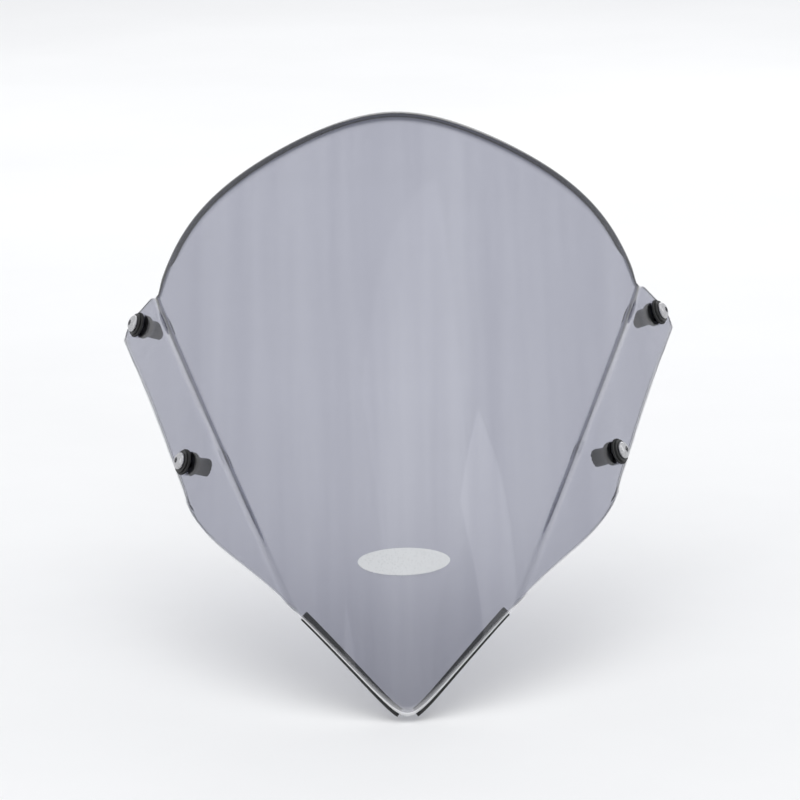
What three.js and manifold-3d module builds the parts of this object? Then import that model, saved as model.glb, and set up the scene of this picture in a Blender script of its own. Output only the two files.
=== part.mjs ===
// Double-bubble windshield screen for a sports motorcycle, with the hardware that fastens it.
//
// Millimetres, +Z up, in the attitude the screen has on the machine: the front faces -Y and
// X runs across it. Left and right are the rider's, so left is +X. The origin is the centre of
// the four-hole fixing pattern.
//
// The screen is laid out on a sloping plane first: x across, s up the slope from its foot, and a
// lift square to the plane that gives the sheet its double bubble.

import * as THREE from "three";
import { mergeVertices } from "three/addons/utils/BufferGeometryUtils.js";
import Module from "manifold-3d";

const wasm = await Module();
wasm.setup();

// ---------------------------------------------------------------- driving dimensions

// Sheet and its slope
const SHEET = 3; // thickness of the acrylic
const SLOPE = THREE.MathUtils.degToRad(42); // of the plane from the nose to the upper rim

// Double bubble: lift of the centre line, and how far the sides fall away from it
const CREST_RISE = 110;
const CREST_SKEW = 1.3;
const CREST_END = 406; // where the centre line is back on the sloping plane
const ARCH_DROP = 76;
const ARCH_POWER = 2.7;
const ARCH_HALF_AT_TIP = 103;
const ARCH_WIDENING = 0.103; // growth of the arch's half width per mm up the slope
const BUBBLE_DROP = [7, 15]; // at the tip and at the rim
const BUBBLE_HALF = [30, 54];

// Outline: the lower V, the clear window's edge, the flanges and the domed rim
const TIP_S = 9;
const TIP_RADIUS = 9;
const V_STEEPNESS = 1.48; // rise up the slope per mm of half width
const CREASE_X = [55, 132.5]; // half widths at the V edge and at the top
const WINDOW_X = [65, 140.5];
const FLANGE_X = [118, 156.5];
const EDGE_BOW = 4.2; // outward bow of the window's side edges
const RIM_TOP = 405;
const RIM_FALL = 42;
const RIM_POWER = 1.75;
const SHOULDER_FALL = 28;
const SHOULDER_POWER = 12;
const FLANGE_TOP = 342;
const CORNER_ROUNDING = [16, 9]; // of the flange's lower and upper outer corners
const CORNER_POWER = [5, 8];

// The flanges step back so that a cowl panel over them lies flush, by less near the lower V
const JOGGLE = [1.6, 3.5];
const JOGGLE_RISE = 0.3; // share of the sheet's height over which the step reaches full depth

// Rolled lip along the rim, which curls back towards the rider
const LIP_LENGTH = 10;
const LIP_TURN = THREE.MathUtils.degToRad(80);
const LIP_FADE = [0.84, 1]; // where it runs out, as a share of the way from the centre to the crease
const PLAIN_MARGIN = 1; // width of the same band where there is no lip

// Grid of the sheet
const WINDOW_COLUMNS = 14;
const JOGGLE_COLUMNS = 4;
const FLANGE_COLUMNS = 5;
const PANEL_ROWS = 30;
const LIP_ROWS = 5;

// Four fixings, at (x, s) on the sloping plane, and the flat seats pressed round them
const FIXINGS = [
  { name: "upper", x: 147.5, s: 333 },
  { name: "lower", x: 119.5, s: 213 },
];
const SEAT_FLAT = 20;
const SEAT_BLEND = 30;
const HOLE_RADIUS = 5.1;

// Fastening hardware, an M5 button-head screw in a rubber well nut
const GAP = 0.3; // between pieces that press on each other
const SLEEVE_BODY_RADIUS = 4.8;
const SLEEVE_FLANGE_RADIUS = 7.2;
const SLEEVE_FLANGE = 1.4;
const SLEEVE_BULGE_RADIUS = 6.6;
const SLEEVE_LENGTH = 16; // behind the sheet's outer face
const SLEEVE_BORE = 2.9;
const INSERT_RADIUS = 3.5;
const INSERT_BORE = 2.7;
const INSERT_LENGTH = 6.5;
const WASHER_RADIUS = 6.2;
const WASHER_BORE = 2.8;
const WASHER = 1;
const SCREW_RADIUS = 2.4;
const SCREW_LENGTH = 20;
const HEAD_RADIUS = 4.75;
const HEAD_HEIGHT = 2.75;
const HEAD_RIM = 0.5;
const SOCKET_FLATS = 3;
const SOCKET_DEPTH = 1.6;
const ROUND_STEPS = 24;

// Rubber edge seals under the lower V, and the plain mark printed on the nose of the screen
const SEAL_WIDTH = 3.5;
const SEAL_PROUD = 1.2; // how far it shows past the sheet's cut edge
const SEAL = 2;
const SEAL_X = [5, 55];
const SEAL_STEPS = 18;
const MARK_HALF_WIDTH = 23.5;
const MARK_HALF_HEIGHT = 8;
const MARK_S = 95.5;
const MARK_ARCH = 3; // how far up the slope its ends curve
const MARK = 0.25;
const MARK_COLUMNS = 14;
const MARK_ROWS = 4;

// ---------------------------------------------------------------- materials

function material(color, roughness, metalness, opacity = 1) {
  return new THREE.MeshStandardMaterial({
    color,
    roughness,
    metalness,
    opacity,
    transparent: opacity < 1,
  });
}

const smokedAcrylic = material(0x8d8e9c, 0.06, 0, 0.5);
const brightSteel = material(0xc4c4c6, 0.28, 1);
const blackNylon = material(0x1b1b1c, 0.55, 0);
const blackRubber = material(0x141414, 0.85, 0);
const brass = material(0xb8924a, 0.35, 1);
const silverInk = material(0xa9aaae, 0.45, 0.2);

// ---------------------------------------------------------------- the sheet's surface

const { lerp, smoothstep, clamp } = THREE.MathUtils;

// Height of the centre line above the sloping plane.
function crestLift(s) {
  const t = Math.max(s / CREST_END, 0);
  return CREST_RISE * Math.pow(t, CREST_SKEW) * (1 - t);
}

// How far the surface at x has fallen below the centre line.
function sideDrop(x, s) {
  const t = s / CREST_END;
  const arch = ARCH_DROP * Math.pow(Math.abs(x) / (ARCH_HALF_AT_TIP + ARCH_WIDENING * s), ARCH_POWER);
  const bubbleX = x / lerp(...BUBBLE_HALF, t);
  return arch + lerp(...BUBBLE_DROP, t) * (1 - Math.exp(-bubbleX * bubbleX));
}

// Point of the plain bubble surface, before the flanges are stepped back.
function bubblePoint(x, s) {
  const lift = crestLift(s) - sideDrop(x, s);
  const y = s * Math.cos(SLOPE) - lift * Math.sin(SLOPE);
  const z = s * Math.sin(SLOPE) + lift * Math.cos(SLOPE);
  return new THREE.Vector3(x, y, z);
}

// Outward normal of a surface at (a, b), by central differences.
function normalOf(at, a, b, step) {
  const alongA = at(a + step, b).sub(at(a - step, b));
  const alongB = at(a, b + step).sub(at(a, b - step));
  return alongA.cross(alongB).normalize();
}

const bubbleNormal = (x, s) => normalOf(bubblePoint, x, s, 0.05);

// A column of the sheet is numbered by a, from 0 at the centre to 1 at the crease, 2 at the
// window's edge and 3 at the flange's outer edge, and is negative on the right-hand side.
function zoned(a, atCrease, atWindow, atFlange) {
  if (a < 1) return atCrease * a;
  if (a < 2) return lerp(atCrease, atWindow, a - 1);
  return lerp(atWindow, atFlange, a - 2);
}

// The lower V as a height up the slope, with its tip rounded.
const vEdge = (x) => TIP_S + V_STEEPNESS * (Math.hypot(x, TIP_RADIUS) - TIP_RADIUS);

// How far the flange's outline is drawn in at its lower (0) or upper (1) outer corner.
function cornerRounding(a, end) {
  return CORNER_ROUNDING[end] * Math.pow(clamp(a - 2, 0, 1), CORNER_POWER[end]);
}

// Lower end of column a, on the V.
function lowerEnd(a) {
  const x = zoned(a, CREASE_X[0], WINDOW_X[0], FLANGE_X[0]);
  return { x, s: vEdge(x) + cornerRounding(a, 0) };
}

// Upper end of column a: the foot of the rolled lip, then the top of the flange.
function upperEnd(a) {
  if (a < 1) {
    const q = a + 0.2 * Math.sin(Math.PI * a);
    const fall = RIM_FALL * Math.pow(q, RIM_POWER) + SHOULDER_FALL * Math.pow(q, SHOULDER_POWER);
    return { x: CREASE_X[1] * q, s: RIM_TOP - fall };
  }
  const x = zoned(a, CREASE_X[1], WINDOW_X[1], FLANGE_X[1]);
  const rimEnd = RIM_TOP - RIM_FALL - SHOULDER_FALL;
  return { x, s: lerp(rimEnd, FLANGE_TOP, smoothstep(a, 1, 2)) - cornerRounding(a, 1) };
}

// Place of the sheet's middle surface at column a and height v (0 on the V, 1 on the rim).
function steppedPoint(a, v) {
  const side = Math.sign(a) || 1;
  const column = Math.abs(a);
  const low = lowerEnd(column);
  const high = upperEnd(column);
  const bow = EDGE_BOW * 4 * v * (1 - v) * Math.min(column / 2, Math.max(3 - column, 0));
  const x = side * (lerp(low.x, high.x, v) + bow);
  const s = lerp(low.s, high.s, v);
  const step = lerp(...JOGGLE, smoothstep(v, 0, JOGGLE_RISE)) * smoothstep(column, 1, 2);
  return bubblePoint(x, s).addScaledVector(bubbleNormal(x, s), -step);
}

// The frame of each fixing: its centre on the sheet's outer face and its outward axis.
function fixingFrames() {
  const frames = [];
  for (const side of [1, -1]) {
    for (const { name, x, s } of FIXINGS) {
      const axis = bubbleNormal(side * x, s);
      const middle = bubblePoint(side * x, s).addScaledVector(axis, -JOGGLE[1]);
      frames.push({ name: `${name}_${side > 0 ? "left" : "right"}`, axis, middle });
    }
  }
  return frames;
}

const fixings = fixingFrames();

// The middle surface with the flat seats pressed into its flanges.
function panelPoint(a, v) {
  const point = steppedPoint(a, v);
  const onFlange = smoothstep(Math.abs(a), 1, 2);
  for (const { axis, middle } of fixings) {
    const reach = point.distanceTo(middle);
    const height = point.clone().sub(middle).dot(axis);
    const pressed = onFlange * (1 - smoothstep(reach, SEAT_FLAT, SEAT_BLEND));
    point.addScaledVector(axis, -height * pressed);
  }
  return point;
}

// Row of points that carries the panel on past its upper edge: curled back as the lip,
// or a narrow plain margin where the lip has run out.
function lipPoint(a, share) {
  const foot = panelPoint(a, 1);
  const up = foot.clone().sub(panelPoint(a, 0.999)).normalize();
  const along = panelPoint(a + 0.002, 1).sub(panelPoint(a - 0.002, 1)).normalize();
  const normal = along.clone().cross(up).normalize();
  const square = normal.clone().cross(along).normalize();
  const lip = 1 - smoothstep(Math.abs(a), ...LIP_FADE);
  const outward = up.multiplyScalar(1 - lip).addScaledVector(square, lip).normalize();
  const length = lerp(PLAIN_MARGIN, LIP_LENGTH, lip) * share;
  const turn = Math.max(LIP_TURN * lip, 1e-3);
  const radius = lerp(PLAIN_MARGIN, LIP_LENGTH, lip) / turn;
  const angle = length / radius;
  return foot
    .addScaledVector(outward, radius * Math.sin(angle))
    .addScaledVector(normal, -radius * (1 - Math.cos(angle)));
}

// Whole middle surface: b runs 0..1 over the panel and 1..2 over the lip.
const sheetPoint = (a, b) => (b <= 1 ? panelPoint(a, b) : lipPoint(a, b - 1));

// Its outward normal, with one-sided steps so that each stays on its own stretch.
function sheetNormal(a, b) {
  const step = 0.002;
  const across = sheetPoint(a + step, b).sub(sheetPoint(a - step, b));
  const from = b > 1 ? b - step * 10 : b - step;
  const to = b < 1 ? b + step : b;
  return across.cross(sheetPoint(a, to).sub(sheetPoint(a, from))).normalize();
}

// ---------------------------------------------------------------- solids

// Closed plate over a grid of columns of { point, normal }, between two heights off the grid.
function plateGeometry(grid, outerHeight, innerHeight) {
  const columns = grid.length;
  const rows = grid[0].length;
  const positions = [];
  for (const height of [outerHeight, innerHeight]) {
    for (const { point, normal } of grid.flat()) {
      positions.push(...point.clone().addScaledVector(normal, height));
    }
  }
  const outer = (i, j) => i * rows + j;
  const inner = (i, j) => columns * rows + i * rows + j;
  const index = [];
  const quad = (p, q, r, t) => index.push(p, q, r, p, r, t);
  for (let i = 0; i < columns - 1; i++) {
    for (let j = 0; j < rows - 1; j++) {
      quad(outer(i, j), outer(i + 1, j), outer(i + 1, j + 1), outer(i, j + 1));
      quad(inner(i, j), inner(i, j + 1), inner(i + 1, j + 1), inner(i + 1, j));
    }
    quad(inner(i, 0), inner(i + 1, 0), outer(i + 1, 0), outer(i, 0));
    quad(outer(i, rows - 1), outer(i + 1, rows - 1), inner(i + 1, rows - 1), inner(i, rows - 1));
  }
  const last = columns - 1;
  for (let j = 0; j < rows - 1; j++) {
    quad(outer(0, j), outer(0, j + 1), inner(0, j + 1), inner(0, j));
    quad(inner(last, j), inner(last, j + 1), outer(last, j + 1), outer(last, j));
  }
  const geometry = new THREE.BufferGeometry();
  geometry.setAttribute("position", new THREE.Float32BufferAttribute(positions, 3));
  geometry.setIndex(index);
  geometry.computeVertexNormals();
  return geometry;
}

// A geometry as a manifold-3d solid.
function solidOf(geometry) {
  const bare = geometry.clone();
  bare.deleteAttribute("normal");
  bare.deleteAttribute("uv");
  const merged = mergeVertices(bare, 1e-4);
  const mesh = new wasm.Mesh({
    numProp: 3,
    vertProperties: merged.attributes.position.array,
    triVerts: new Uint32Array(merged.index.array),
  });
  return new wasm.Manifold(mesh);
}

// A geometry with each of the tools cut out of it.
function cut(geometry, tools) {
  let solid = solidOf(geometry);
  for (const tool of tools) solid = solid.subtract(solidOf(tool));
  const mesh = solid.getMesh();
  const result = new THREE.BufferGeometry();
  result.setAttribute("position", new THREE.BufferAttribute(mesh.vertProperties, 3));
  result.setIndex(new THREE.BufferAttribute(mesh.triVerts, 1));
  result.computeVertexNormals();
  return result;
}

// Solid of revolution about +Z from [radius, height] points; a ring's outline is closed.
function turned(outline) {
  const points = outline.map(([radius, height]) => new THREE.Vector2(radius, height));
  return new THREE.LatheGeometry(points, ROUND_STEPS).rotateX(Math.PI / 2);
}

// ---------------------------------------------------------------- screen panel

// Column numbers from the right-hand flange's edge to the left-hand one's.
function columnStations() {
  const half = [];
  for (let i = 1; i <= WINDOW_COLUMNS; i++) half.push(i / WINDOW_COLUMNS);
  for (let i = 1; i <= JOGGLE_COLUMNS; i++) half.push(1 + i / JOGGLE_COLUMNS);
  for (let i = 1; i <= FLANGE_COLUMNS; i++) half.push(2 + i / FLANGE_COLUMNS);
  return [...half.map((a) => -a).reverse(), 0, ...half];
}

function rowStations() {
  const rows = [];
  for (let j = 0; j <= PANEL_ROWS; j++) rows.push(j / PANEL_ROWS);
  for (let j = 1; j <= LIP_ROWS; j++) rows.push(1 + j / LIP_ROWS);
  return rows;
}

function screenPanel() {
  const grid = columnStations().map((a) =>
    rowStations().map((b) => ({ point: sheetPoint(a, b), normal: sheetNormal(a, b) })),
  );
  const holes = fixings.map(({ axis, middle }) => {
    const drill = new THREE.CylinderGeometry(HOLE_RADIUS, HOLE_RADIUS, 4 * SHEET, ROUND_STEPS);
    const turn = new THREE.Quaternion().setFromUnitVectors(new THREE.Vector3(0, 1, 0), axis);
    return drill.applyQuaternion(turn).translate(...middle);
  });
  return cut(plateGeometry(grid, SHEET / 2, -SHEET / 2), holes);
}

// ---------------------------------------------------------------- fastenings
// Heights are above the sheet's outer face, along the fixing's axis.

const WASHER_FOOT = GAP + SLEEVE_FLANGE + GAP;
const HEAD_FOOT = WASHER_FOOT + WASHER + GAP;

// Rubber sleeve: flange in front, body through the hole, bulged behind the sheet as when tight.
function wellNutSleeve() {
  const back = -SHEET - GAP;
  const pocket = INSERT_RADIUS + GAP;
  const shoulder = -SLEEVE_LENGTH + INSERT_LENGTH + GAP;
  return turned([
    [SLEEVE_BORE, GAP + SLEEVE_FLANGE],
    [SLEEVE_BORE, shoulder],
    [pocket, shoulder],
    [pocket, -SLEEVE_LENGTH],
    [SLEEVE_BODY_RADIUS, -SLEEVE_LENGTH],
    [SLEEVE_BODY_RADIUS, back - 5.2],
    [SLEEVE_BULGE_RADIUS, back - 3.4],
    [SLEEVE_BULGE_RADIUS, back - 0.8],
    [SLEEVE_BODY_RADIUS + 0.9, back],
    [SLEEVE_BODY_RADIUS, back],
    [SLEEVE_BODY_RADIUS, GAP],
    [SLEEVE_FLANGE_RADIUS, GAP],
    [SLEEVE_FLANGE_RADIUS, GAP + SLEEVE_FLANGE - 0.5],
    [SLEEVE_FLANGE_RADIUS - 0.5, GAP + SLEEVE_FLANGE],
    [SLEEVE_BORE, GAP + SLEEVE_FLANGE],
  ]);
}

function wellNutInsert() {
  const foot = -SLEEVE_LENGTH;
  const top = foot + INSERT_LENGTH;
  return turned([
    [INSERT_BORE, top],
    [INSERT_BORE, foot],
    [INSERT_RADIUS, foot],
    [INSERT_RADIUS, top],
    [INSERT_BORE, top],
  ]);
}

function washer() {
  const top = WASHER_FOOT + WASHER;
  return turned([
    [WASHER_BORE, top],
    [WASHER_BORE, WASHER_FOOT],
    [WASHER_RADIUS, WASHER_FOOT],
    [WASHER_RADIUS, top - 0.3],
    [WASHER_RADIUS - 0.3, top],
    [WASHER_BORE, top],
  ]);
}

// Button-head screw: the head is a low dome, with a hexagon socket sunk in it.
function screw() {
  const tip = HEAD_FOOT - SCREW_LENGTH;
  const outline = [
    [0, tip],
    [SCREW_RADIUS - 0.5, tip],
    [SCREW_RADIUS, tip + 0.5],
    [SCREW_RADIUS, HEAD_FOOT],
    [HEAD_RADIUS, HEAD_FOOT],
  ];
  const domeSteps = 4;
  for (let i = 0; i < domeSteps; i++) {
    const angle = (i / domeSteps) * (Math.PI / 2);
    const height = HEAD_FOOT + HEAD_RIM + (HEAD_HEIGHT - HEAD_RIM) * Math.sin(angle);
    outline.push([HEAD_RADIUS * Math.cos(angle), height]);
  }
  outline.push([0, HEAD_FOOT + HEAD_HEIGHT]);
  const across = SOCKET_FLATS / Math.sqrt(3);
  const socket = new THREE.CylinderGeometry(across, across, 2 * SOCKET_DEPTH, 6);
  socket.rotateX(Math.PI / 2).translate(0, 0, HEAD_FOOT + HEAD_HEIGHT);
  return cut(turned(outline), [socket]);
}

// ---------------------------------------------------------------- seals and mark

// Strip under the sheet that follows one side of the V and shows a little past the cut edge.
function edgeSeal(side) {
  const grid = [];
  for (let i = 0; i <= SEAL_STEPS; i++) {
    const x = lerp(...SEAL_X, i / SEAL_STEPS);
    const s = vEdge(x);
    const steepness = (V_STEEPNESS * x) / Math.hypot(x, TIP_RADIUS);
    const inward = new THREE.Vector2(-steepness, 1).normalize();
    const column = [-SEAL_PROUD, SEAL_WIDTH / 2, SEAL_WIDTH].map((reach) => {
      const px = side * (x + inward.x * reach);
      const ps = s + inward.y * reach;
      return { point: bubblePoint(px, ps), normal: bubbleNormal(px, ps) };
    });
    grid.push(column);
  }
  if (side < 0) grid.reverse();
  const face = -SHEET / 2 - GAP;
  return plateGeometry(grid, face, face - SEAL);
}

// Thin plain oval of ink on the outer face. Its ends curve up the slope, so that it looks level
// from the front on the rounded nose.
function printedMark() {
  const grid = [];
  for (let i = 0; i <= MARK_COLUMNS; i++) {
    const share = Math.sin((i / MARK_COLUMNS - 0.5) * Math.PI);
    const x = MARK_HALF_WIDTH * share;
    const half = MARK_HALF_HEIGHT * Math.max(Math.sqrt(1 - share * share), 0.12);
    const middle = MARK_S + MARK_ARCH * share * share;
    const column = [];
    for (let j = 0; j <= MARK_ROWS; j++) {
      const s = middle + half * lerp(-1, 1, j / MARK_ROWS);
      column.push({ point: bubblePoint(x, s), normal: bubbleNormal(x, s) });
    }
    grid.push(column);
  }
  const face = SHEET / 2 + GAP;
  return plateGeometry(grid, face + MARK, face);
}

// ---------------------------------------------------------------- assembly

function mesh(name, geometry, finish) {
  const made = new THREE.Mesh(geometry, finish);
  made.name = name;
  return made;
}

function fastening({ name, axis, middle }) {
  const group = new THREE.Group();
  group.position.copy(middle).addScaledVector(axis, SHEET / 2);
  group.quaternion.setFromUnitVectors(new THREE.Vector3(0, 0, 1), axis);
  group.add(mesh(`${name}_screw`, screw(), brightSteel));
  group.add(mesh(`${name}_washer`, washer(), blackNylon));
  group.add(mesh(`${name}_well_nut_sleeve`, wellNutSleeve(), blackRubber));
  group.add(mesh(`${name}_well_nut_insert`, wellNutInsert(), brass));
  return group;
}

// Centre of the four-hole pattern, on the sheet's middle surface.
function patternCentre() {
  const centre = new THREE.Vector3();
  for (const { middle } of fixings) centre.addScaledVector(middle, 1 / fixings.length);
  return centre;
}

const assembly = new THREE.Group();
assembly.add(mesh("screen_panel", screenPanel(), smokedAcrylic));
for (const fixing of fixings) assembly.add(fastening(fixing));
assembly.add(mesh("left_edge_seal", edgeSeal(1), blackRubber));
assembly.add(mesh("right_edge_seal", edgeSeal(-1), blackRubber));
assembly.add(mesh("printed_mark", printedMark(), silverInk));
assembly.position.copy(patternCentre()).negate();

const group = new THREE.Group();
group.add(assembly);

export default group;
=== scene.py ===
"""Looks of the windshield screen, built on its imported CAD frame.

The acrylic sheet is rebuilt from the same surface formulas as the CAD part, at a finer step and
with rounded edges. The fastenings, seals and printed mark are rebuilt with their small details.
Lengths are in millimetres in the shape functions and in metres in the scene.
"""

import math

import bpy
import numpy as np
from mathutils import Matrix, Quaternion, Vector
from mathutils.kdtree import KDTree


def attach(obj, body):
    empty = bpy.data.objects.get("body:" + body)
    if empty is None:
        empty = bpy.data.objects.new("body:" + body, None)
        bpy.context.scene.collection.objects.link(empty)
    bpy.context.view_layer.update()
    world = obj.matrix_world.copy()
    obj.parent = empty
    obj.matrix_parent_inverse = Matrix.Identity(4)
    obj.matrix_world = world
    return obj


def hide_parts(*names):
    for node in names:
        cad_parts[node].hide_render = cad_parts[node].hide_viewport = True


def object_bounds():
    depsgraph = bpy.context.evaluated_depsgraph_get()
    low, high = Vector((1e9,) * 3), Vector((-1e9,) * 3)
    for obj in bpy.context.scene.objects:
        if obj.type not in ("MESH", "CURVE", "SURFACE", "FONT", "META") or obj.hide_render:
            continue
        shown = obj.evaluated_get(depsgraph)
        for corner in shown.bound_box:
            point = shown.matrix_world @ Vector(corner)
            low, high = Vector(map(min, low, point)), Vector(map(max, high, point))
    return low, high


MM = 0.001

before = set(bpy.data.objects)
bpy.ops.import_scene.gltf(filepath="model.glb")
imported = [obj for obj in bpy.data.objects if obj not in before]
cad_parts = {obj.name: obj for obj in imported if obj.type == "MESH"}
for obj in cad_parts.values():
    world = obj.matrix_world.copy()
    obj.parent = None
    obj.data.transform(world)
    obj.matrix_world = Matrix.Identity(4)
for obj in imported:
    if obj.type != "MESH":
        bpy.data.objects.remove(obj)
cad_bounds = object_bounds()

# ---------------------------------------------------------------- dimensions, as in the CAD part

SHEET = 3.0
SLOPE = math.radians(42)
CREST_RISE, CREST_SKEW, CREST_END = 110, 1.3, 406
ARCH_DROP, ARCH_POWER = 76, 2.7
ARCH_HALF_AT_TIP, ARCH_WIDENING = 103, 0.103
BUBBLE_DROP = (7, 15)
BUBBLE_HALF = (30, 54)
TIP_S, TIP_RADIUS, V_STEEPNESS = 9, 9, 1.48
CREASE_X = (55, 132.5)
WINDOW_X = (65, 140.5)
FLANGE_X = (118, 156.5)
EDGE_BOW = 4.2
RIM_TOP, RIM_FALL, RIM_POWER = 405, 42, 1.75
SHOULDER_FALL, SHOULDER_POWER = 28, 12
COLUMN_SPREAD = 0.2  # how far the columns at the rim stand further out than evenly spaced
FLANGE_TOP = 342
CORNER_ROUNDING = (16, 9)
CORNER_POWER = (5, 8)
JOGGLE, JOGGLE_RISE = (1.6, 3.5), 0.3
LIP_LENGTH, LIP_TURN, LIP_FADE = 10, math.radians(80), (0.84, 1.0)
PLAIN_MARGIN = 1
FIXINGS = {"upper": (147.5, 333), "lower": (119.5, 213)}
SEAT_FLAT, SEAT_BLEND = 20, 30
HOLE_RADIUS = 5.1

GAP = 0.3
SLEEVE_BODY_RADIUS, SLEEVE_FLANGE_RADIUS, SLEEVE_FLANGE = 4.8, 7.2, 1.4
SLEEVE_BULGE_RADIUS, SLEEVE_LENGTH, SLEEVE_BORE = 6.6, 16, 2.9
INSERT_RADIUS, INSERT_BORE, INSERT_LENGTH = 3.5, 2.7, 6.5
WASHER_RADIUS, WASHER_BORE, WASHER = 6.2, 2.8, 1
SCREW_RADIUS, SCREW_LENGTH = 2.4, 20
HEAD_RADIUS, HEAD_HEIGHT, HEAD_RIM = 4.75, 2.75, 0.5
SOCKET_FLATS, SOCKET_DEPTH = 3, 1.6
SEAL_WIDTH, SEAL_PROUD, SEAL, SEAL_X = 3.5, 1.2, 2, (5, 55)
MARK_HALF_WIDTH, MARK_HALF_HEIGHT, MARK_S, MARK_ARCH, MARK = 23.5, 8, 95.5, 3, 0.25
MARK_BLUNTNESS = 0.12  # least height of the mark's ends, as a share of its height

# ---------------------------------------------------------------- details that only the looks have

EDGE_ROUND = 0.7  # radius of the sheet's edges
SEAL_ROUND, MARK_ROUND = 0.6, 0.1
SLEEVE_ROUND, INSERT_ROUND, WASHER_ROUND = 0.6, 0.2, 0.3
THREAD_PITCH, THREAD_DEPTH = 0.8, 0.42
THREAD_NECK = 2  # length of plain shank under the head
KNURL_TEETH, KNURL_DEPTH = 32, 0.12

# Grid of the sheet: runs of columns from the centre out, as (first, last, count), and of rows
COLUMN_RUNS = ((0, 0.86, 46), (0.86, 1, 18), (1, 2, 14), (2, 2.92, 16))
LAST_COLUMNS = (2.98, 3.0)  # where the edge's rounding starts, set more exactly later, and ends
PANEL_ROWS = 96
LIP_ZONE = 0.04  # share of the panel's height below the lip that has fine rows
LIP_ZONE_ROWS = (6, 10)  # below the foot of the lip, and above it

# Bands along the sheet's edges that its material marks, each fading between two distances:
# painted shade on the rolled lip, and pale cut edges that are partly a painted highlight
PAINTED_LIP_SHADE = "painted_lip_shade"
PAINTED_LIP_SHADE_END = (10.5, 14)
PAINTED_BARE_SHADE_END = (2.5, 4.5)  # the same where the lip has run out
CUT_EDGE = "cut_edge"
CUT_EDGE_END = (1.5, 1.8)
OUTLINE_POINTS = (1800, 600)  # along the rim and the V, and along each side

# Smoked acrylic
ACRYLIC_IOR = 1.49
SMOKE, SMOKE_DENSITY = (0.02, 0.04, 0.2, 1), 235  # colour and density of the tint in its body
SHADOW_TINT = (0.74, 0.75, 0.78, 1)
PAINTED_REFLECTION_STREAKS, PAINTED_REFLECTION_STREAK_DARK = (48, 2.2, 2.2), (0.88, 0.88, 0.9)  # painted reflection streaks: lighter and darker bands along the sheet
RIPPLES = (30, 2.5, 2.5)
# colour of the painted shade on the rolled lip
PAINTED_LIP_SHADE_COLOR = (0.1, 0.105, 0.14)
# Cut edges: satin, and less clear, so that their pale colour shows as a painted highlight line
CUT_ROUGHNESS, CUT_TRANSMISSION = 0.42, 0.3

# Studio: lights as (place, target, size, power), in metres and watts
FLOOR_BELOW, FLOOR_RADIUS, FLOOR_SIDES = 0.002, 6, 96
WORLD_COLOR, WORLD_STRENGTH = (0.97, 0.98, 1.0, 1), 0.95
LIGHTS = {
    "top_softbox": ((0.3, -0.5, 2.2), (0, 0, 0), (2.4, 1.8), 4),
    "left_strip": ((-1.6, -1.1, 0.9), (0, 0, 0.05), (0.5, 1.6), 1.6),
    "right_strip": ((1.7, -0.4, 1.0), (0, 0, 0.05), (0.4, 1.5), 1.6),
    "back_softbox": ((0.2, 2.0, 1.3), (0, 0, 0.1), (1.6, 1.0), 7),
}
CAMERA_ELEVATION = math.radians(12)
CAMERA_DISTANCE = 3.0
CAMERA_ROLL = math.radians(1.4)
CAMERA_FILL = 0.43  # width that the frame takes in at the object, in metres
CAMERA_SENSOR, CAMERA_RANGE = 36, 50


# ---------------------------------------------------------------- surface of the sheet (numpy)


def lerp(a, b, t):
    return a + (b - a) * t


def smoothstep(x, low, high):
    t = np.clip((x - low) / (high - low), 0, 1)
    return t * t * (3 - 2 * t)


def unit(v):
    return v / np.linalg.norm(v, axis=-1, keepdims=True)


def crest_lift(s):
    t = np.maximum(s / CREST_END, 0)
    return CREST_RISE * t**CREST_SKEW * (1 - t)


def side_drop(x, s):
    t = s / CREST_END
    arch = ARCH_DROP * (np.abs(x) / (ARCH_HALF_AT_TIP + ARCH_WIDENING * s)) ** ARCH_POWER
    bubble = x / lerp(*BUBBLE_HALF, t)
    return arch + lerp(*BUBBLE_DROP, t) * (1 - np.exp(-bubble * bubble))


def bubble_point(x, s):
    lift = crest_lift(s) - side_drop(x, s)
    y = s * math.cos(SLOPE) - lift * math.sin(SLOPE)
    z = s * math.sin(SLOPE) + lift * math.cos(SLOPE)
    return np.stack(np.broadcast_arrays(x, y, z), -1)


def bubble_normal(x, s, step=0.05):
    across = bubble_point(x + step, s) - bubble_point(x - step, s)
    up = bubble_point(x, s + step) - bubble_point(x, s - step)
    return unit(np.cross(across, up))


def zoned(a, at_crease, at_window, at_flange):
    """Half width at column a: 1 is the crease, 2 the window's edge and 3 the flange's edge."""
    beyond = 2 * at_flange - at_window
    return np.interp(a, [0, 1, 2, 3, 4], [0, at_crease, at_window, at_flange, beyond])


def v_edge(x):
    return TIP_S + V_STEEPNESS * (np.hypot(x, TIP_RADIUS) - TIP_RADIUS)


def corner_rounding(a, end):
    return CORNER_ROUNDING[end] * np.clip(a - 2, 0, 1) ** CORNER_POWER[end]


def lower_end(a):
    x = zoned(a, CREASE_X[0], WINDOW_X[0], FLANGE_X[0])
    return x, v_edge(x) + corner_rounding(a, 0)


def upper_end(a):
    column = np.minimum(a, 1)
    q = column + COLUMN_SPREAD * np.sin(np.pi * column)
    fall = RIM_FALL * q**RIM_POWER + SHOULDER_FALL * q**SHOULDER_POWER
    rim_end = RIM_TOP - RIM_FALL - SHOULDER_FALL
    flange = lerp(rim_end, FLANGE_TOP, smoothstep(a, 1, 2)) - corner_rounding(a, 1)
    inside = a < 1
    x = np.where(inside, CREASE_X[1] * q, zoned(a, CREASE_X[1], WINDOW_X[1], FLANGE_X[1]))
    return x, np.where(inside, RIM_TOP - fall, flange)


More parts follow.
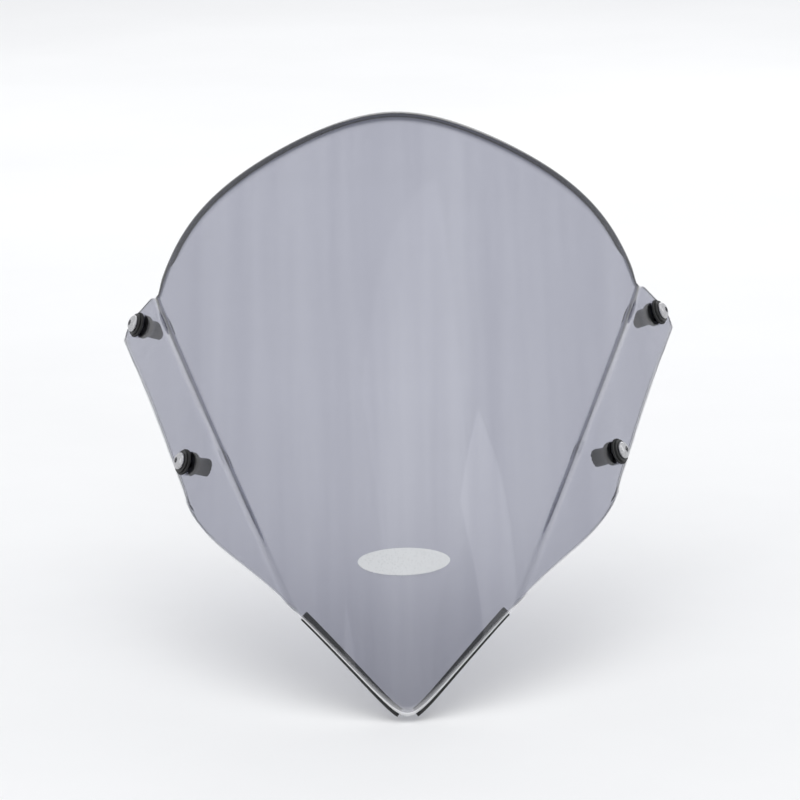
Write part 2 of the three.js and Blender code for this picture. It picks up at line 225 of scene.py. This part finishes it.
def stepped_point(a, v):
    column = np.abs(a)
    low_x, low_s = lower_end(column)
    high_x, high_s = upper_end(column)
    bow = EDGE_BOW * 4 * v * (1 - v) * np.minimum(column / 2, np.maximum(3 - column, 0))
    x = np.where(a < 0, -1, 1) * (lerp(low_x, high_x, v) + bow)
    s = lerp(low_s, high_s, v)
    step = lerp(*JOGGLE, smoothstep(v, 0, JOGGLE_RISE)) * smoothstep(column, 1, 2)
    return bubble_point(x, s) - bubble_normal(x, s) * step[..., None]


def fixing_frames():
    frames = {}
    for side, word in ((1, "left"), (-1, "right")):
        for name, (x, s) in FIXINGS.items():
            x, s = np.float64(side * x), np.float64(s)
            axis = bubble_normal(x, s)
            frames[f"{name}_{word}"] = (bubble_point(x, s) - axis * JOGGLE[1], axis)
    return frames


FRAMES = fixing_frames()
CENTRE = np.mean([middle for middle, axis in FRAMES.values()], axis=0)


def panel_point(a, v):
    a, v = np.broadcast_arrays(np.asarray(a, float), np.asarray(v, float))
    point = stepped_point(a, v)
    on_flange = smoothstep(np.abs(a), 1, 2)
    for middle, axis in FRAMES.values():
        reach = np.linalg.norm(point - middle, axis=-1)
        height = (point - middle) @ axis
        pressed = on_flange * (1 - smoothstep(reach, SEAT_FLAT, SEAT_BLEND))
        point = point - axis * (height * pressed)[..., None]
    return point


def lip_point(a, share):
    a, share = np.broadcast_arrays(np.asarray(a, float), np.asarray(share, float))
    foot = panel_point(a, 1)
    up = unit(foot - panel_point(a, 0.999))
    along = unit(panel_point(a + 0.002, 1) - panel_point(a - 0.002, 1))
    normal = unit(np.cross(along, up))
    square = unit(np.cross(normal, along))
    lip = (1 - smoothstep(np.abs(a), *LIP_FADE))[..., None]
    outward = unit(up * (1 - lip) + square * lip)
    turn = np.maximum(LIP_TURN * lip, 1e-3)
    radius = lerp(PLAIN_MARGIN, LIP_LENGTH, lip) / turn
    angle = turn * share[..., None]
    return foot + outward * radius * np.sin(angle) - normal * radius * (1 - np.cos(angle))


def sheet_point(a, b):
    a, b = np.broadcast_arrays(np.asarray(a, float), np.asarray(b, float))
    panel = panel_point(a, np.minimum(b, 1))
    lip = lip_point(a, np.maximum(b - 1, 0))
    return np.where((b > 1)[..., None], lip, panel)


def sheet_normal(a, b, step=0.002):
    across = sheet_point(a + step, b) - sheet_point(a - step, b)
    low = np.where(b > 1, b - 10 * step, b - step)
    high = np.where(b < 1, b + step, b)
    return unit(np.cross(across, sheet_point(a, high) - sheet_point(a, low)))


# ---------------------------------------------------------------- mesh helpers


def make_object(name, vertices, faces):
    """An object from vertices in millimetres in the frame's own coordinates."""
    mesh = bpy.data.meshes.new(name)
    mesh.from_pydata([tuple(v) for v in np.asarray(vertices) * MM], [], [tuple(f) for f in faces])
    mesh.validate()
    mesh.update()
    mesh.shade_smooth()
    made = bpy.data.objects.new(name, mesh)
    bpy.context.scene.collection.objects.link(made)
    return made


def weigh_normals(made):
    """Flat faces keep their own normals, so that only the rounded edges look round."""
    modifier = made.modifiers.new("weighted", "WEIGHTED_NORMAL")
    modifier.weight = 100
    apply_modifiers(made)


def apply_modifiers(made):
    graph = bpy.context.evaluated_depsgraph_get()
    result = bpy.data.meshes.new_from_object(made.evaluated_get(graph))
    made.modifiers.clear()
    made.data = result
    return made


def border_loop(columns, rows):
    """Grid places (i, j) round the border, in order."""
    low = [(i, 0) for i in range(columns - 1)]
    right = [(columns - 1, j) for j in range(rows - 1)]
    high = [(i, rows - 1) for i in range(columns - 1, 0, -1)]
    left = [(0, j) for j in range(rows - 1, 0, -1)]
    return low + right + high + left


def plate(name, points, normals, outer_height, inner_height, edge, steps=4):
    """Closed plate over a grid of points, with its edges rounded to the radius edge.

    The grid's outermost points are the plate's outline, and the next ones are where the flat
    faces end and the rounding begins.
    """
    outline = {"point": points, "normal": normals}
    points, normals = points[1:-1, 1:-1], normals[1:-1, 1:-1]
    columns, rows = points.shape[:2]
    loop = border_loop(columns, rows)

    def beyond(i, j):
        """The outline's point next to a point on the border of the faces."""
        return (i + 1 + (i == columns - 1) - (i == 0), j + 1 + (j == rows - 1) - (j == 0))

    face_end = np.array([points[place] for place in loop])
    border = np.array([outline["point"][beyond(*place)] for place in loop])
    border_normal = np.array([outline["normal"][beyond(*place)] for place in loop])
    outer = (points + normals * outer_height).reshape(-1, 3)
    inner = (points + normals * inner_height).reshape(-1, 3)
    vertices = [outer, inner]
    rings = [[i * rows + j for i, j in loop]]
    count = 2 * columns * rows
    angles = np.linspace(math.pi / 2, 0, steps + 1)[1:]
    corner = [(angle, outer_height - edge) for angle in angles]
    corner += [(-angle, inner_height + edge) for angle in angles[::-1][:-1]]
    if outer_height - inner_height > 2.01 * edge:  # there is a straight stretch between them
        corner.insert(steps, (0.0, inner_height + edge))
    for angle, height in corner:
        ring = lerp(face_end, border, math.cos(angle))
        vertices.append(ring + border_normal * (height + edge * math.sin(angle)))
        rings.append(list(range(count, count + len(loop))))
        count += len(loop)
    rings.append([columns * rows + i * rows + j for i, j in loop])
    faces = []
    offset = columns * rows
    for i in range(columns - 1):
        for j in range(rows - 1):
            near, far = i * rows + j, (i + 1) * rows + j
            faces.append((near, far, far + 1, near + 1))
            faces.append((offset + near, offset + near + 1, offset + far + 1, offset + far))
    for upper, lower in zip(rings, rings[1:]):
        for k in range(len(loop)):
            after = (k + 1) % len(loop)
            faces.append((upper[after], upper[k], lower[k], lower[after]))
    return make_object(name, np.concatenate(vertices) - CENTRE, faces)


def placed(made, fixing):
    """Moves an object built about +Z, with the sheet's outer face at height 0, to its fixing."""
    middle, axis = FRAMES[fixing]
    up, outward = Vector((0, 0, 1)), Vector(axis)
    turn = Quaternion(up.cross(outward).normalized(), up.angle(outward))
    place = Matrix.Translation(Vector((middle + axis * SHEET / 2 - CENTRE) * MM))
    made.data.transform(place @ turn.to_matrix().to_4x4())
    return made


def rounded(outline, radius, steps):
    """A closed outline of (radius, height) corners with each corner rounded off."""
    share = 0.45  # of each side that a rounding may take up
    points = [np.array(p, float) for p in outline]
    result = []
    for k, corner in enumerate(points):
        before, after = points[k - 1] - corner, points[(k + 1) % len(points)] - corner
        reach = min(radius, np.linalg.norm(before) * share, np.linalg.norm(after) * share)
        start, end = corner + unit(before) * reach, corner + unit(after) * reach
        for t in np.linspace(0, 1, steps + 1):
            result.append((1 - t) ** 2 * start + 2 * t * (1 - t) * corner + t * t * end)
    return result


def turned(name, outline, steps, swell=None, closed=True):
    """Solid of revolution about +Z from (radius, height) points.

    swell(radius, height, angle) can vary the radius. An outline that isn't closed runs from one
    end face to the other.
    """
    angles = np.linspace(0, 2 * math.pi, steps, endpoint=False)
    vertices, faces = [], []
    for radius, height in outline:
        for angle in angles:
            r = swell(radius, height, angle) if swell else radius
            vertices.append((r * math.cos(angle), r * math.sin(angle), height))
    spans = len(outline) if closed else len(outline) - 1
    for k in range(spans):
        this, following = k * steps, ((k + 1) % len(outline)) * steps
        for i in range(steps):
            j = (i + 1) % steps
            faces.append((this + i, this + j, following + j, following + i))
    if not closed:
        faces.append(tuple(range(steps))[::-1])
        faces.append(tuple((len(outline) - 1) * steps + i for i in range(steps)))
    return make_object(name, vertices, faces)


# ---------------------------------------------------------------- materials


class Nodes:
    """Short way to build a node material, with lengths in the textures in metres."""

    def __init__(self, name):
        self.material = bpy.data.materials.new(name)
        self.material.use_nodes = True
        self.tree = self.material.node_tree
        self.shader = self.tree.nodes["Principled BSDF"]
        self.output = self.tree.nodes["Material Output"]
        self.coordinates = self.tree.nodes.new("ShaderNodeTexCoord").outputs["Object"]

    def set(self, **values):
        for key, value in values.items():
            self.shader.inputs[key.replace("_", " ")].default_value = value
        return self

    def stretched(self, scale, turn=(0, 0, 0)):
        node = self.tree.nodes.new("ShaderNodeMapping")
        node.inputs["Scale"].default_value = scale
        node.inputs["Rotation"].default_value = turn
        self.tree.links.new(self.coordinates, node.inputs["Vector"])
        return node.outputs["Vector"]

    def noise(self, scale, detail=4, roughness=0.55, vector=None):
        node = self.tree.nodes.new("ShaderNodeTexNoise")
        node.inputs["Scale"].default_value = scale
        node.inputs["Detail"].default_value = detail
        node.inputs["Roughness"].default_value = roughness
        self.tree.links.new(vector or self.coordinates, node.inputs["Vector"])
        return node.outputs["Fac"]

    def voronoi(self, scale):
        node = self.tree.nodes.new("ShaderNodeTexVoronoi")
        node.inputs["Scale"].default_value = scale
        self.tree.links.new(self.coordinates, node.inputs["Vector"])
        return node.outputs["Distance"]

    def ramp(self, source, stops):
        node = self.tree.nodes.new("ShaderNodeValToRGB")
        elements = node.color_ramp.elements
        while len(elements) < len(stops):
            elements.new(0.5)
        for element, (place, color) in zip(elements, stops):
            element.position = place
            element.color = (*color, 1)
        self.tree.links.new(source, node.inputs["Fac"])
        return node.outputs["Color"]

    def range(self, source, low, high, source_low=0.3, source_high=0.7):
        node = self.tree.nodes.new("ShaderNodeMapRange")
        node.inputs["From Min"].default_value = source_low
        node.inputs["From Max"].default_value = source_high
        node.inputs["To Min"].default_value = low
        node.inputs["To Max"].default_value = high
        self.tree.links.new(source, node.inputs["Value"])
        return node.outputs["Result"]

    def attribute(self, name):
        node = self.tree.nodes.new("ShaderNodeAttribute")
        node.attribute_name = name
        return node.outputs["Fac"]

    def multiply(self, first, second):
        node = self.tree.nodes.new("ShaderNodeMix")
        node.data_type = "RGBA"
        node.blend_type = "MULTIPLY"
        node.inputs["Factor"].default_value = 1
        colors = [socket for socket in node.inputs if socket.type == "RGBA"]
        self.tree.links.new(first, colors[0])
        self.tree.links.new(second, colors[1])
        return next(socket for socket in node.outputs if socket.type == "RGBA")

    def add(self, first, second):
        node = self.tree.nodes.new("ShaderNodeMath")
        node.operation = "ADD"
        self.tree.links.new(first, node.inputs[0])
        self.tree.links.new(second, node.inputs[1])
        return node.outputs["Value"]

    def bump(self, source, strength, distance):
        node = self.tree.nodes.new("ShaderNodeBump")
        node.inputs["Strength"].default_value = strength
        node.inputs["Distance"].default_value = distance
        self.tree.links.new(source, node.inputs["Height"])
        self.link(node.outputs["Normal"], "Normal")
        return self

    def link(self, source, socket):
        self.tree.links.new(source, self.shader.inputs[socket])
        return self


def grey(value):
    return (value, value, value)


def acrylic_material():
    """Light smoke acrylic: clear surfaces, and a tint that deepens with the thickness of sheet.

    The sheet's colour carries faint painted reflection streaks and painted shade along the rolled
    lip, and its cut edges are satin and pale, partly a sawn finish and partly a painted highlight.
    To a shadow ray it is a plain light filter.
    """
    made = Nodes("smoked_acrylic")
    made.set(IOR=ACRYLIC_IOR)
    # Painted reflection: faint lighter and darker streaks along the sheet, put into its colour
    streaks = made.noise(1, 3, vector=made.stretched(PAINTED_REFLECTION_STREAKS))
    painted_reflection_streaks = made.ramp(streaks, [(0.3, PAINTED_REFLECTION_STREAK_DARK), (0.7, grey(1))])
    # Painted shade: the sheet's colour darkens towards the rim along the rolled lip
    lip = made.ramp(made.attribute(PAINTED_LIP_SHADE), [(0, grey(1)), (1, PAINTED_LIP_SHADE_COLOR)])
    made.link(made.multiply(painted_reflection_streaks, lip), "Base Color")
    wiped = made.range(made.noise(60, 3), 0.008, 0.02)
    cut_edge_share = made.attribute(CUT_EDGE)
    made.link(made.add(wiped, made.range(cut_edge_share, 0, CUT_ROUGHNESS, 0, 1)), "Roughness")
    # Painted highlight: the cut edges let less light through and show pale, partly a sawn finish
    # and partly painted light
    made.link(made.range(cut_edge_share, 1, CUT_TRANSMISSION, 0, 1), "Transmission Weight")
    made.bump(made.noise(1, 2, vector=made.stretched(RIPPLES)), 0.2, 0.0004)
    volume = made.tree.nodes.new("ShaderNodeVolumeAbsorption")
    volume.inputs["Color"].default_value = SMOKE
    volume.inputs["Density"].default_value = SMOKE_DENSITY
    made.tree.links.new(volume.outputs[0], made.output.inputs["Volume"])
    clear = made.tree.nodes.new("ShaderNodeBsdfTransparent")
    clear.inputs["Color"].default_value = SHADOW_TINT
    mix = made.tree.nodes.new("ShaderNodeMixShader")
    path = made.tree.nodes.new("ShaderNodeLightPath")
    made.tree.links.new(path.outputs["Is Shadow Ray"], mix.inputs[0])
    made.tree.links.new(made.shader.outputs[0], mix.inputs[1])
    made.tree.links.new(clear.outputs[0], mix.inputs[2])
    made.tree.links.new(mix.outputs[0], made.output.inputs["Surface"])
    return made.material


def steel_material():
    made = Nodes("screw_steel").set(Metallic=1.0)
    stops = [(0.3, (0.42, 0.42, 0.43)), (0.7, (0.58, 0.58, 0.59))]
    made.link(made.ramp(made.noise(900, 5), stops), "Base Color")
    made.link(made.range(made.noise(1500, 4), 0.18, 0.36), "Roughness")
    return made.bump(made.noise(2600, 3), 0.25, 0.00005).material


def nylon_material():
    made = Nodes("washer_nylon")
    stops = [(0.3, grey(0.018)), (0.7, grey(0.035))]
    made.link(made.ramp(made.noise(700, 4), stops), "Base Color")
    made.link(made.range(made.noise(500, 4), 0.42, 0.62), "Roughness")
    return made.bump(made.noise(3000, 3), 0.2, 0.00004).material


def rubber_material(name, base, grain):
    made = Nodes(name)
    stops = [(0.3, grey(base)), (0.72, grey(base * 1.9))]
    made.link(made.ramp(made.noise(180, 5), stops), "Base Color")
    made.link(made.range(made.noise(420, 4), 0.62, 0.86), "Roughness")
    return made.bump(made.noise(grain, 5, 0.65), 0.5, 0.00012).material


def brass_material():
    made = Nodes("insert_brass").set(Metallic=1.0)
    stops = [(0.3, (0.50, 0.33, 0.12)), (0.7, (0.72, 0.52, 0.22))]
    made.link(made.ramp(made.noise(500, 5), stops), "Base Color")
    made.link(made.range(made.noise(1100, 4), 0.22, 0.42), "Roughness")
    return made.bump(made.noise(2200, 3), 0.3, 0.00005).material


def ink_material():
    made = Nodes("silver_ink").set(Metallic=0.35)
    flake = made.add(made.noise(2600, 4), made.voronoi(900))
    stops = [(0.35, (0.42, 0.43, 0.44)), (0.85, (0.62, 0.63, 0.64))]
    made.link(made.ramp(flake, stops), "Base Color")
    made.link(made.range(made.noise(600, 4), 0.34, 0.52), "Roughness")
    return made.bump(made.noise(1800, 4), 0.3, 0.00004).material


# ---------------------------------------------------------------- the sheet


def spaced(first, last, count):
    return list(np.linspace(first, last, count + 1)[1:])


def inset(along, across_edge):
    """How far to go along a column to be EDGE_ROUND in from an edge that it meets aslant."""
    edge = unit(across_edge)
    square = along - np.sum(along * edge) * edge
    return EDGE_ROUND / np.linalg.norm(square)


def column_rows(a, side):
    """Heights b of column a, from the V to the rim, each end with its row for the rounding.

    The last rows are set out by their distance from the foot of the lip. Where there is a lip,
    most of them lie on it, and where there is none they all stay on the panel.
    """
    step = 0.002
    rise = (panel_point(a, step) - panel_point(a, 0)) / step
    low = min(inset(rise, panel_point(a - step * side, 0) - panel_point(a, 0)), 0.01)
    rise = (sheet_point(a, 2) - sheet_point(a, 2 - step)) / step
    high = min(inset(rise, sheet_point(a - step * side, 2) - sheet_point(a, 2)), 2)
    lip = 1 - smoothstep(np.abs(a), *LIP_FADE)
    length = lerp(PLAIN_MARGIN, LIP_LENGTH, lip)
    per_height = np.linalg.norm(panel_point(a, 1) - panel_point(a, 1 - LIP_ZONE)) / LIP_ZONE
    start = -LIP_ZONE * per_height
    end = length * (1 - high)
    below, above = LIP_ZONE_ROWS
    plain = np.array(spaced(start, end, below + above))
    curled = np.array(spaced(start, 0, below) + spaced(0, end, above)) if end > 0 else plain
    distance = lerp(plain, curled, lip)
    heights = np.where(distance > 0, 1 + distance / length, 1 + distance / per_height)
    return [0.0, low, *spaced(low, 1 - LIP_ZONE, PANEL_ROWS), *heights, 2.0]


def cut(made, tools):
    """Cuts the tools out of an object and removes them."""
    for tool in tools:
        cutter = made.modifiers.new(tool.name, "BOOLEAN")
        cutter.operation = "DIFFERENCE"
        cutter.solver = "MANIFOLD"
        cutter.object = tool
    apply_modifiers(made)
    for tool in tools:
        bpy.data.objects.remove(tool)


def screen_panel():
    half = [a for run in COLUMN_RUNS for a in spaced(*run)] + list(LAST_COLUMNS)
    a = np.array([-x for x in half[::-1]] + [0.0] + half)
    up = np.array([column_rows(column, np.sign(column) or 1) for column in a])
    across = np.repeat(a[:, None], up.shape[1], axis=1)
    for outermost, side in ((-1, 1), (0, -1)):
        v = np.minimum(up[outermost], 1)
        strip = panel_point(3 * side, v) - panel_point(2.9 * side, v)
        width = np.linalg.norm(strip, axis=-1) / 0.1
        across[outermost - side] = side * (3 - EDGE_ROUND / width)
    points = sheet_point(across, up)
    normals = sheet_normal(across, up)
    made = plate("screen_sheet", points, normals, SHEET / 2, -SHEET / 2, EDGE_ROUND)
    wall = [(HOLE_RADIUS, -2.5 * SHEET), (HOLE_RADIUS, 1.5 * SHEET)]
    cut(made, [placed(turned(f"drill_{f}", wall, 48, closed=False), f) for f in FRAMES])
    weigh_normals(made)
    mark_edges(made)
    return made


def outline_points():
    """Columns of points along the rim, those points, and points all along the outline."""
    along, beside = OUTLINE_POINTS
    across, up = np.linspace(-3, 3, along), np.linspace(0, 2, beside)
    rim = sheet_point(across, 2)
    sides = [sheet_point(side * np.float64(3), up) for side in (-1, 1)]
    return np.abs(across), rim, np.concatenate([rim, sheet_point(across, 0), *sides])


def nearest(points, made):
    """Which of some points is nearest to each vertex, and how far off it is."""
    tree = KDTree(len(points))
    for k, point in enumerate(points - CENTRE):
        tree.insert(point, k)
    tree.balance()
    found = [tree.find(vertex.co / MM) for vertex in made.data.vertices]
    which = np.array([index for _, index, _ in found])
    return which, np.array([distance for _, _, distance in found])


def write_share(made, name, distance, start, end):
    """Writes an attribute that is 1 near something and fades to 0 between two distances."""
    share = made.data.attributes.new(name, "FLOAT", "POINT")
    share.data.foreach_set("value", 1 - smoothstep(distance, start, end))


def mark_edges(made):
    """Tells the material where the rolled lip and the cut edges are, for its painted shade on the
    lip and painted highlight on the cut edges.
    """
    column, rim, outline = outline_points()
    above_window = column < 1
    which, distance = nearest(rim[above_window], made)
    lip = 1 - smoothstep(column[above_window][which], *LIP_FADE)
    start, end = (lerp(bare, curled, lip) for bare, curled in zip(PAINTED_BARE_SHADE_END, PAINTED_LIP_SHADE_END))
    write_share(made, PAINTED_LIP_SHADE, distance, start, end)
    write_share(made, CUT_EDGE, nearest(outline, made)[1], *CUT_EDGE_END)


# ---------------------------------------------------------------- fastenings

WASHER_FOOT = GAP + SLEEVE_FLANGE + GAP
HEAD_FOOT = WASHER_FOOT + WASHER + GAP


def well_nut_sleeve(name):
    back = -SHEET - GAP
    pocket = INSERT_RADIUS + GAP
    shoulder = -SLEEVE_LENGTH + INSERT_LENGTH + GAP
    top = GAP + SLEEVE_FLANGE
    outline = [
        (SLEEVE_BORE, top),
        (SLEEVE_BORE, shoulder),
        (pocket, shoulder),
        (pocket, -SLEEVE_LENGTH),
        (SLEEVE_BODY_RADIUS, -SLEEVE_LENGTH),
        (SLEEVE_BODY_RADIUS, back - 5.4),
        (SLEEVE_BODY_RADIUS + 0.9, back - 4.6),
        (SLEEVE_BULGE_RADIUS, back - 3.4),
        (SLEEVE_BULGE_RADIUS, back - 1.2),
        (SLEEVE_BODY_RADIUS + 0.9, back),
        (SLEEVE_BODY_RADIUS, back),
        (SLEEVE_BODY_RADIUS, GAP),
        (SLEEVE_FLANGE_RADIUS, GAP),
        (SLEEVE_FLANGE_RADIUS, top - 0.2),
        (SLEEVE_FLANGE_RADIUS - 0.2, top),
    ]
    return turned(name, rounded(outline, SLEEVE_ROUND, 4), 72)


def tube(bore, radius, foot, top):
    return [(bore, top), (bore, foot), (radius, foot), (radius, top)]


def knurl(radius, height, angle):
    """Fine teeth on the insert's outside."""
    if radius < INSERT_RADIUS - 0.05:
        return radius
    return radius - KNURL_DEPTH * (0.5 + 0.5 * math.cos(KNURL_TEETH * angle))


def well_nut_insert(name):
    foot = -SLEEVE_LENGTH
    top = foot + INSERT_LENGTH
    outline = tube(INSERT_BORE, INSERT_RADIUS, foot, top)
    return turned(name, rounded(outline, INSERT_ROUND, 2), 192, knurl)


def washer(name):
    outline = tube(WASHER_BORE, WASHER_RADIUS, WASHER_FOOT, WASHER_FOOT + WASHER)
    return turned(name, rounded(outline, WASHER_ROUND, 4), 72)


def thread(radius, height, angle):
    """A helical thread between the tip and the plain neck under the head."""
    if radius < SCREW_RADIUS - 0.01 or height > HEAD_FOOT - THREAD_NECK:
        return radius
    turn = (height / THREAD_PITCH - angle / (2 * math.pi)) % 1
    return radius - THREAD_DEPTH * (1 - abs(2 * turn - 1))


def screw(name):
    tip = HEAD_FOOT - SCREW_LENGTH
    outline = [(0.01, tip), (SCREW_RADIUS - 0.6, tip), (SCREW_RADIUS - 0.5, tip + 0.1)]
    turns = np.arange(tip + 0.6, HEAD_FOOT - 0.1, THREAD_PITCH / 6)
    outline += [(SCREW_RADIUS, height) for height in turns]
    outline += [(SCREW_RADIUS, HEAD_FOOT), (HEAD_RADIUS - 0.15, HEAD_FOOT)]
    outline.append((HEAD_RADIUS, HEAD_FOOT + 0.15))
    for angle in np.linspace(0, math.pi / 2, 13)[:-1]:
        height = HEAD_FOOT + HEAD_RIM + (HEAD_HEIGHT - HEAD_RIM) * math.sin(angle)
        outline.append((HEAD_RADIUS * math.cos(angle), height))
    outline.append((0.01, HEAD_FOOT + HEAD_HEIGHT))
    made = turned(name, outline, 60, thread, closed=False)
    across = SOCKET_FLATS / math.sqrt(3)
    top = HEAD_FOOT + HEAD_HEIGHT
    socket = [(across, top - SOCKET_DEPTH), (across, top + 1)]
    lead_in = [(across * 0.8, top - 0.55), (across * 1.16, top + 0.15)]
    cut(made, [turned("hexagon_tool", wall, 6, closed=False) for wall in (socket, lead_in)])
    made.data.set_sharp_from_angle(angle=math.radians(32))
    return made


# ---------------------------------------------------------------- seals and mark


def edge_seal(name, side):
    """Rounded foam strip under the sheet, along one side of the V."""
    low, high = SEAL_X
    between = np.linspace(low + 1, high - 1, 88)
    x = np.array([low, low + 0.4, *between, high - 0.35, high])[:, None]
    s = v_edge(x)
    steepness = V_STEEPNESS * x / np.hypot(x, TIP_RADIUS)
    length = np.hypot(steepness, 1)
    low, high = -SEAL_PROUD, SEAL_WIDTH
    reach = np.array([low, *np.linspace(low + SEAL_ROUND, high - SEAL_ROUND, 10), high])[None, :]
    px = side * (x - steepness / length * reach)
    ps = s + reach / length
    points, normals = bubble_point(px, ps), bubble_normal(px, ps)
    if side < 0:
        points, normals = points[::-1], normals[::-1]
    face = -SHEET / 2 - GAP
    return plate(name, points, normals, face, face - SEAL, SEAL_ROUND)


def printed_mark(name):
    """Plain oval of ink on the nose."""
    share = np.sin(np.linspace(-math.pi / 2, math.pi / 2, 64))[:, None]
    half = MARK_HALF_HEIGHT * np.maximum(np.sqrt(1 - share**2), MARK_BLUNTNESS)
    x = MARK_HALF_WIDTH * share
    rows = np.array([-1, *np.linspace(-0.985, 0.985, 20), 1])[None, :]
    s = MARK_S + MARK_ARCH * share**2 + half * rows
    x = np.broadcast_to(x, s.shape)
    points, normals = bubble_point(x, s), bubble_normal(x, s)
    face = SHEET / 2 + GAP
    return plate(name, points, normals, face + MARK, face, MARK_ROUND, 2)


# ---------------------------------------------------------------- assembly


def finish_piece(made, node, material):
    made.data.materials.clear()
    made.data.materials.append(material)
    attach(made, "root")
    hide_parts(node)


def build_object():
    steel, nylon, brass = steel_material(), nylon_material(), brass_material()
    sleeve_rubber = rubber_material("well_nut_rubber", 0.016, 1900)
    finish_piece(screen_panel(), "screen_panel", acrylic_material())
    for fixing in FRAMES:
        for maker, word, slot, material in (
            (screw, "screw", "screw_steel", steel),
            (washer, "washer", "washer_nylon", nylon),
            (well_nut_sleeve, "well_nut_sleeve", "well_nut_rubber", sleeve_rubber),
            (well_nut_insert, "well_nut_insert", "insert_brass", brass),
        ):
            piece = placed(maker(f"{fixing}_{word}_fine"), fixing)
            finish_piece(piece, f"{fixing}_{word}", material)
    foam = rubber_material("seal_rubber", 0.013, 2600)
    for side, word in ((1, "left"), (-1, "right")):
        seal = edge_seal(f"{word}_edge_seal_fine", side)
        finish_piece(seal, f"{word}_edge_seal", foam)
    finish_piece(printed_mark("printed_mark_fine"), "printed_mark", ink_material())


# ---------------------------------------------------------------- studio


def stage_floor():
    height = cad_bounds[0][2] - FLOOR_BELOW
    angles = np.linspace(0, 2 * math.pi, FLOOR_SIDES, endpoint=False)
    ring = [(FLOOR_RADIUS * math.cos(t), FLOOR_RADIUS * math.sin(t), height) for t in angles]
    mesh = bpy.data.meshes.new("floor")
    mesh.from_pydata(ring, [], [tuple(range(FLOOR_SIDES))])
    floor = bpy.data.objects.new("floor", mesh)
    bpy.context.scene.collection.objects.link(floor)
    made = Nodes("floor").set(Roughness=0.7)
    made.link(made.ramp(made.noise(3, 4), [(0.3, grey(0.86)), (0.7, grey(0.9))]), "Base Color")
    floor.data.materials.append(made.material)


def area_light(name, place, target, size, power):
    data = bpy.data.lights.new(name, "AREA")
    data.shape = "RECTANGLE"
    data.size, data.size_y = size
    data.energy = power
    light = bpy.data.objects.new(name, data)
    light.location = place
    aim = Vector(target) - Vector(place)
    light.rotation_euler = aim.to_track_quat("-Z", "Y").to_euler()
    bpy.context.scene.collection.objects.link(light)


def studio():
    world = bpy.data.worlds.new("studio")
    world.use_nodes = True
    background = world.node_tree.nodes["Background"]
    background.inputs["Color"].default_value = WORLD_COLOR
    background.inputs["Strength"].default_value = WORLD_STRENGTH
    bpy.context.scene.world = world
    for name, values in LIGHTS.items():
        area_light(name, *values)


def camera():
    data = bpy.data.cameras.new("camera")
    data.sensor_width = CAMERA_SENSOR
    data.lens = data.sensor_width * CAMERA_DISTANCE / CAMERA_FILL
    data.clip_end = CAMERA_RANGE
    made = bpy.data.objects.new("camera", data)
    low, high = Vector(cad_bounds[0]), Vector(cad_bounds[1])
    target = (low + high) / 2
    back = Vector((0, -math.cos(CAMERA_ELEVATION), math.sin(CAMERA_ELEVATION)))
    made.location = target + back * CAMERA_DISTANCE
    aim = (-back).to_track_quat("-Z", "Y")
    made.rotation_euler = (aim @ Quaternion((0, 0, 1), -CAMERA_ROLL)).to_euler()
    bpy.context.scene.collection.objects.link(made)
    bpy.context.scene.camera = made


build_object()
stage_floor()
studio()
camera()
bpy.context.scene.view_settings.view_transform = "Standard"
